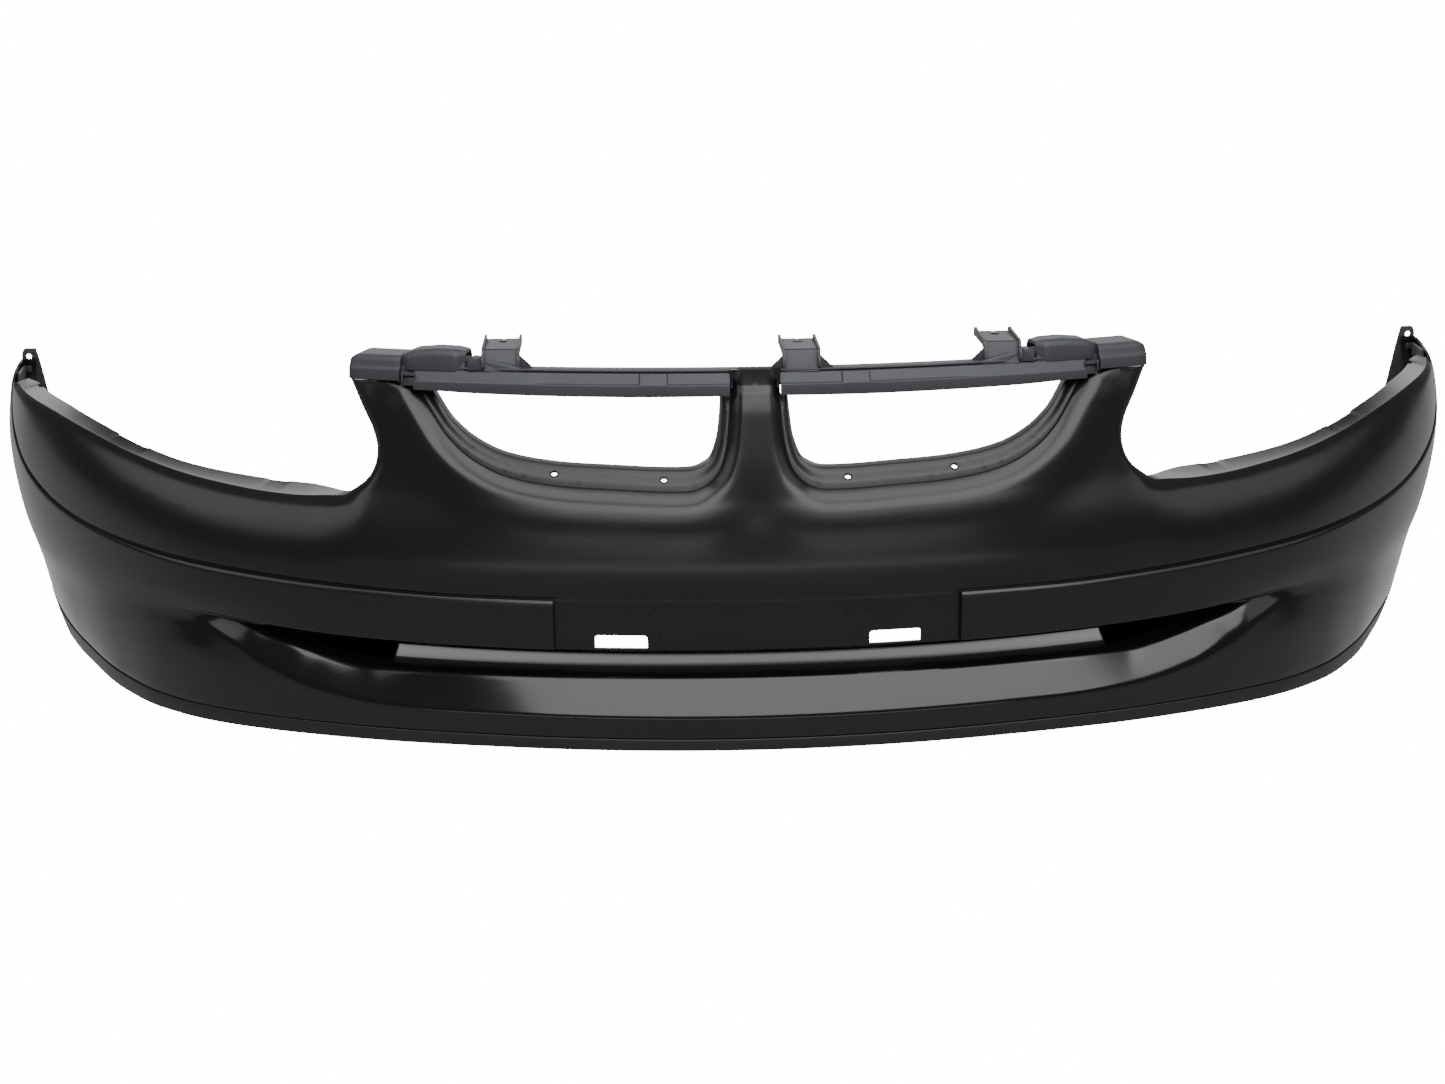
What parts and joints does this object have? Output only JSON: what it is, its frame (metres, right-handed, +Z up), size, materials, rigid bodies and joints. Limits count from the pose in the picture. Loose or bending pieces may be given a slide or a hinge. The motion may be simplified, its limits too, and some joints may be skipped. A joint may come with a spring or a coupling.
{
  "type": "front bumper cover",
  "caption": "Wide moulded front bumper cover for a sedan, with twin grille apertures, wrap-round wings, a number-plate recess, an air scoop and a separate chin lip.",
  "frame": {"origin": "centre of the footprint, on the ground under the chin lip", "axes": "+Z up; the car's nose points along -Y; +X is the car's left, the longest direction"},
  "size_m": [1.7438, 0.5616, 0.406],
  "materials": {
    "fascia_pp": "unpainted black polypropylene, satin gloss",
    "lip_pp": "fine-grained matte black polypropylene",
    "rail_pp": "matte dark grey polypropylene",
    "frame_pp": "satin dark grey polypropylene",
    "plinth_pp": "satin black polypropylene",
    "clip_nylon": "black nylon"
  },
  "bodies": {
    "root": {"bumper_fascia": "fascia_pp", "lower_lip": "lip_pp", "grille_header_rail": "rail_pp", "left_grille_frame": "frame_pp", "right_grille_frame": "frame_pp", "plate_plinth": "plinth_pp", "left_fender_bracket": "rail_pp", "right_fender_bracket": "rail_pp", "lip_clip_1": "clip_nylon", "lip_clip_2": "clip_nylon", "lip_clip_3": "clip_nylon", "lip_clip_4": "clip_nylon", "lip_clip_5": "clip_nylon", "lip_clip_6": "clip_nylon", "lip_clip_7": "clip_nylon", "lip_clip_8": "clip_nylon", "rail_clip_1": "clip_nylon", "rail_clip_2": "clip_nylon", "rail_clip_3": "clip_nylon", "rail_clip_4": "clip_nylon"}
  },
  "joints": []
}
